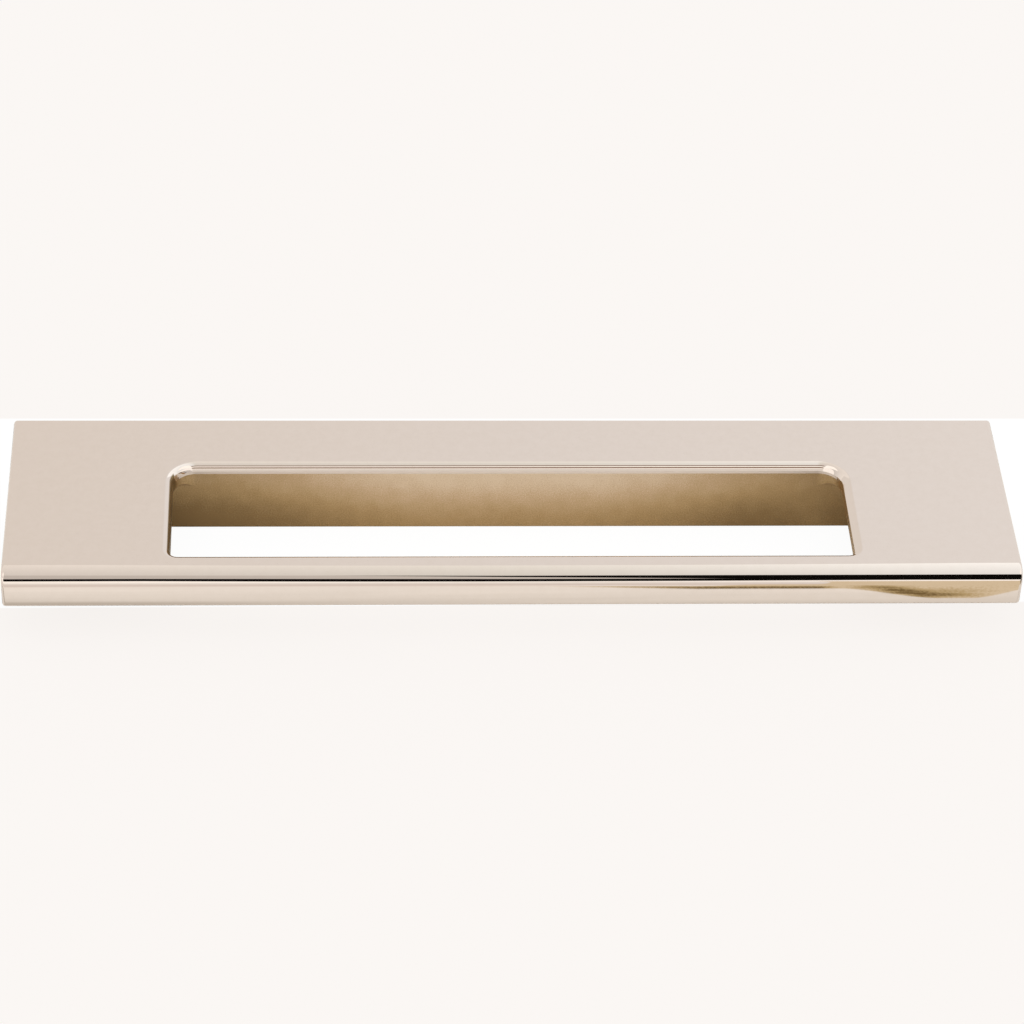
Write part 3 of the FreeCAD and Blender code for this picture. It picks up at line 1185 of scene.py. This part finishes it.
        # Degrees from the horizon behind, over the top, to the horizon in front
        arc = graph.product(graph.math("ARCTAN2", z, y), 180.0 / math.pi)
        across = graph.scaled(x, 0.5, 0.5)
        backdrop = graph.ramp(
            across,
            [(0.4575, (0.885, 0.865, 0.845)), (0.53, (0.9125, 0.914, 0.926)), (0.60, (0.95, 0.964, 0.99))],
        )
        overhead = graph.ramp(
            across,
            [(0.4575, (0.912, 0.90, 0.885)), (0.53, (0.94, 0.964, 0.947)), (0.60, (1.13, 1.20, 1.255))],
        )
        # The edges of the panels bow a little, highest in the middle
        off = graph.math("DIVIDE", graph.math("SUBTRACT", x, 0.062), 0.112)
        bow = graph.math("SUBTRACT", 1.0, graph.math("MINIMUM", graph.product(off, off), 1.2))

        def edge(low: float, rise: float, soft: float) -> Socket:
            """Rise from 0 to 1 across a bowed edge at this arc."""
            start = graph.scaled(bow, rise, low - soft / 2)
            return graph.step(arc, start, graph.math("ADD", start, soft))

        fade = graph.scaled(arc, -0.0026, 1.25)
        colour = graph.mix(edge(46.0, 12.0, 3.0), backdrop, graph.dim(overhead, fade))
        # The white wall low in front, and thin lines on it that the opening's rim shows
        width = graph.math("SUBTRACT", graph.step(x, -0.30, -0.22), graph.step(x, 0.26, 0.34))
        colour = graph.mix(graph.step(arc, 145.5, 147.0), colour, (1.25, 1.25, 1.24))
        brown, grey = (0.27, 0.17, 0.11), (0.87, 0.85, 0.82)
        for start, end, shade in ((136.5, 146.0, brown), (150.5, 157.6, brown), (160.8, 165.0, grey)):
            line = graph.band(arc, (start, start + 1.2), (end - 1.2, end))
            colour = graph.mix(graph.product(line, width), colour, shade)
        # Softboxes on both sides, a little to the front
        out = graph.math("ABSOLUTE", x)
        wide = graph.step(out, 0.30, 0.36)
        level = graph.band(z, (0.40, 0.48), (0.84, 0.88))
        boxes = graph.product(wide, level, graph.step(y, -0.10, -0.17))
        colour = graph.mix(boxes, colour, (1.35, 1.34, 1.33))
        soft = graph.glow((1.0, 0.99, 0.975), "Background", self.sky)
        lit = graph.blend(glossy, soft, graph.glow(colour, "Background"))
        both = graph.blend(seen, lit, graph.glow(self.paper, "Background"))
        graph.add("ShaderNodeOutputWorld", {"Surface": both})

    def lamp(self) -> bpy.types.Object:
        """Hang one broad soft lamp over the table.

        Returns:
            The lamp.
        """
        data = bpy.data.lights.new("overhead", "AREA")
        data.shape = "RECTANGLE"
        data.size, data.size_y = 0.9, 0.6
        data.energy = 1.4
        data.color = (1.0, 0.985, 0.96)
        made = new_object("overhead", data)
        made.location = (0.05, -0.12, 0.9)
        aim = Vector((0.0, -0.02, 0.0)) - made.location
        made.rotation_mode = "QUATERNION"
        made.rotation_quaternion = aim.to_track_quat("-Z", "Y")
        made.visible_glossy = False
        return made

    def camera(self) -> bpy.types.Object:
        """Place the camera at the photograph's viewing angle.

        Returns:
            The camera.
        """
        data = bpy.data.cameras.new("camera")
        data.sensor_width = 36.0
        data.lens = self.lens_px * 36.0 / 1024.0
        data.clip_start, data.clip_end = 0.01, 20.0
        made = new_object("camera", data)
        right = Vector(self.camera_right).normalized()
        down = Vector(self.camera_down)
        down = (down - right * down.dot(right)).normalized()
        ahead = right.cross(down)
        turn = Matrix((right, -down, -ahead)).transposed().to_4x4()
        made.matrix_world = Matrix.Translation(Vector(self.camera_mm) * MM) @ turn
        bpy.context.scene.camera = made
        return made

    def build(self) -> None:
        """Set up the whole studio."""
        self.table()
        self.dark_card()
        self.surroundings()
        self.lamp()
        self.camera()
        bpy.context.scene.view_settings.view_transform = "Standard"
        LOG.info("studio: table, light and camera are in place")


def main() -> None:
    """Build the pull and its studio, piece by piece."""
    logging.basicConfig(level=logging.INFO, format="%(name)s: %(message)s")
    materials = Workshop().build()
    Casting().build(materials)
    ScrewThreads().build(materials[Finish.RECESS.value])
    Studio().build()


if __name__ == "__main__":
    main()
